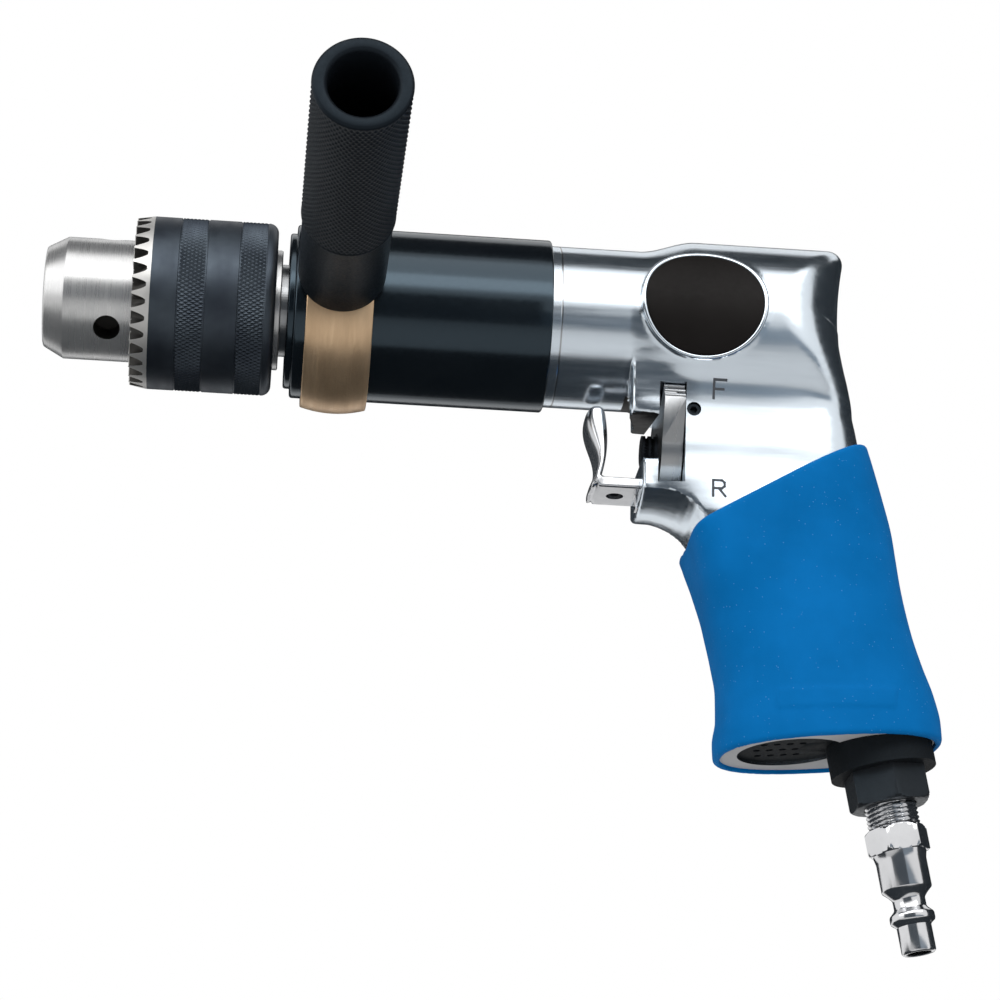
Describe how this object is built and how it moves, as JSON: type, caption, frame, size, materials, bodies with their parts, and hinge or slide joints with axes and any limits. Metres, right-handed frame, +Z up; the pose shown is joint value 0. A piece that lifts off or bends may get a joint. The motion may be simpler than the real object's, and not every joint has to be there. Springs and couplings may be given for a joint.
{
  "type": "pistol-grip air drill",
  "caption": "Reversible pistol-grip air drill with a keyed three-jaw chuck, swivelling side handle, polished housing, slide trigger, blue rubber grip and quick-connect air plug.",
  "frame": {"origin": "centre of the chuck's mouth, on the front face of the chuck", "axes": "X along the spindle from the chuck to the rear, Y to the tool's right with the side handle along -Y, Z up"},
  "size_m": [0.239, 0.1613, 0.1936],
  "materials": {
    "polished_aluminium": "mirror polished casting with faint buffing marks",
    "gloss_black": "gloss black coating",
    "gear_steel": "machined steel",
    "bearing_steel": "ground steel",
    "chuck_steel": "turned bright steel",
    "blued_steel": "blackened steel with a slight sheen",
    "brass": "turned brass, lightly rubbed",
    "satin_black": "satin black, finely knurled where gripped",
    "chrome": "bright plating",
    "lever_steel": "plain steel",
    "blue_rubber": "matte blue with a fine speckle",
    "badge_black": "plain gloss black",
    "black_plastic": "satin black moulding",
    "felt": "pressed felt",
    "vane_resin": "phenolic laminate"
  },
  "bodies": {
    "housing": {"motor_housing": "polished_aluminium", "gear_housing": "gloss_black", "ring_gear": "gear_steel", "spindle_front_bearing": "bearing_steel", "spindle_rear_bearing": "bearing_steel", "bearing_spacer": "gear_steel", "motor_clamp_sleeve": "gear_steel", "motor_cylinder": "gear_steel", "front_end_plate": "gear_steel", "rear_end_plate": "gear_steel", "rotor_front_bearing": "bearing_steel", "rotor_rear_bearing": "bearing_steel", "throttle_seat": "brass", "throttle_spring": "bearing_steel", "spool_set_screw": "blued_steel", "rubber_grip": "blue_rubber", "badge_plate": "badge_black", "exhaust_cap": "black_plastic", "muffler_felt": "felt", "inlet_bushing": "satin_black", "inlet_screen": "bearing_steel", "air_plug": "chrome"},
    "spindle": {"spindle": "gear_steel", "spindle_collar": "chuck_steel", "output_pins": "bearing_steel", "chuck_body": "chuck_steel", "chuck_screw": "blued_steel"},
    "output_planet_1": {"output_planet_1": "gear_steel"},
    "output_planet_2": {"output_planet_2": "gear_steel"},
    "output_planet_3": {"output_planet_3": "gear_steel"},
    "first_carrier": {"first_carrier": "gear_steel", "first_pins": "bearing_steel"},
    "first_planet_1": {"first_planet_1": "gear_steel"},
    "first_planet_2": {"first_planet_2": "gear_steel"},
    "first_planet_3": {"first_planet_3": "gear_steel"},
    "rotor": {"rotor": "gear_steel", "rotor_vanes": "vane_resin"},
    "chuck_sleeve": {"chuck_sleeve": "blued_steel", "chuck_nut": "gear_steel"},
    "chuck_jaw_1": {"chuck_jaw_1": "chuck_steel"},
    "chuck_jaw_2": {"chuck_jaw_2": "chuck_steel"},
    "chuck_jaw_3": {"chuck_jaw_3": "chuck_steel"},
    "side_handle": {"clamp_ring": "brass", "clamp_stud": "gear_steel", "handle_tube": "satin_black"},
    "trigger": {"trigger": "chrome", "trigger_screw": "blued_steel", "throttle_stem": "bearing_steel"},
    "reverse": {"reverse_lever": "lever_steel", "reverse_spool": "lever_steel"}
  },
  "joints": [
    {"name": "spindle_spin", "type": "hinge", "parent": "housing", "child": "spindle", "pos_m": [0, 0, 0], "axis": [1, 0, 0], "continuous": true},
    {"name": "output_planet_1_spin", "type": "hinge", "parent": "spindle", "child": "output_planet_1", "pos_m": [0.1118, 0, -0.0105], "axis": [1, 0, 0], "continuous": true},
    {"name": "output_planet_2_spin", "type": "hinge", "parent": "spindle", "child": "output_planet_2", "pos_m": [0.1118, 0.00909, 0.00525], "axis": [1, 0, 0], "continuous": true},
    {"name": "output_planet_3_spin", "type": "hinge", "parent": "spindle", "child": "output_planet_3", "pos_m": [0.1118, -0.00909, 0.00525], "axis": [1, 0, 0], "continuous": true},
    {"name": "first_carrier_spin", "type": "hinge", "parent": "housing", "child": "first_carrier", "pos_m": [0.1175, 0, 0], "axis": [1, 0, 0], "continuous": true},
    {"name": "first_planet_1_spin", "type": "hinge", "parent": "first_carrier", "child": "first_planet_1", "pos_m": [0.123, 0, -0.0105], "axis": [1, 0, 0], "continuous": true},
    {"name": "first_planet_2_spin", "type": "hinge", "parent": "first_carrier", "child": "first_planet_2", "pos_m": [0.123, 0.00909, 0.00525], "axis": [1, 0, 0], "continuous": true},
    {"name": "first_planet_3_spin", "type": "hinge", "parent": "first_carrier", "child": "first_planet_3", "pos_m": [0.123, -0.00909, 0.00525], "axis": [1, 0, 0], "continuous": true},
    {"name": "rotor_spin", "type": "hinge", "parent": "housing", "child": "rotor", "pos_m": [0.1725, 0, 0], "axis": [1, 0, 0], "continuous": true},
    {"name": "chuck_sleeve_turn", "type": "hinge", "parent": "spindle", "child": "chuck_sleeve", "pos_m": [0.0427, 0, 0], "axis": [1, 0, 0], "range_deg": [0, 2880]},
    {"name": "chuck_jaw_1_slide", "type": "slide", "parent": "spindle", "child": "chuck_jaw_1", "axis": [-0.9703, -0.0827, 0.2273], "range_m": [0, 0.025]},
    {"name": "chuck_jaw_2_slide", "type": "slide", "parent": "spindle", "child": "chuck_jaw_2", "axis": [-0.9703, -0.1555, -0.1853], "range_m": [0, 0.025]},
    {"name": "chuck_jaw_3_slide", "type": "slide", "parent": "spindle", "child": "chuck_jaw_3", "axis": [-0.9703, 0.2382, -0.042], "range_m": [0, 0.025]},
    {"name": "side_handle_swivel", "type": "hinge", "parent": "housing", "child": "side_handle", "pos_m": [0.0776, 0, 0], "axis": [1, 0, 0], "continuous": true},
    {"name": "trigger_pull", "type": "slide", "parent": "housing", "child": "trigger", "axis": [1, 0, 0], "range_m": [0, 0.0035], "stiffness_N_per_m": 1500, "springref_m": -0.003, "deforming": ["throttle_spring"]},
    {"name": "reverse_turn", "type": "hinge", "parent": "housing", "child": "reverse", "pos_m": [0.1665, 0, -0.0343], "axis": [1, 0, 0], "range_deg": [0, 66]}
  ],
  "couplings": [
    {"joint": "output_planet_1_spin", "follows": "spindle_spin", "ratio": -2.6667},
    {"joint": "output_planet_2_spin", "follows": "spindle_spin", "ratio": -2.6667},
    {"joint": "output_planet_3_spin", "follows": "spindle_spin", "ratio": -2.6667},
    {"joint": "first_carrier_spin", "follows": "spindle_spin", "ratio": 5},
    {"joint": "first_planet_1_spin", "follows": "spindle_spin", "ratio": -13.333},
    {"joint": "first_planet_2_spin", "follows": "spindle_spin", "ratio": -13.333},
    {"joint": "first_planet_3_spin", "follows": "spindle_spin", "ratio": -13.333},
    {"joint": "rotor_spin", "follows": "spindle_spin", "ratio": 25},
    {"joint": "chuck_jaw_1_slide", "follows": "chuck_sleeve_turn", "m_per_rad": 0.00049735},
    {"joint": "chuck_jaw_2_slide", "follows": "chuck_sleeve_turn", "m_per_rad": 0.00049735},
    {"joint": "chuck_jaw_3_slide", "follows": "chuck_sleeve_turn", "m_per_rad": 0.00049735}
  ]
}
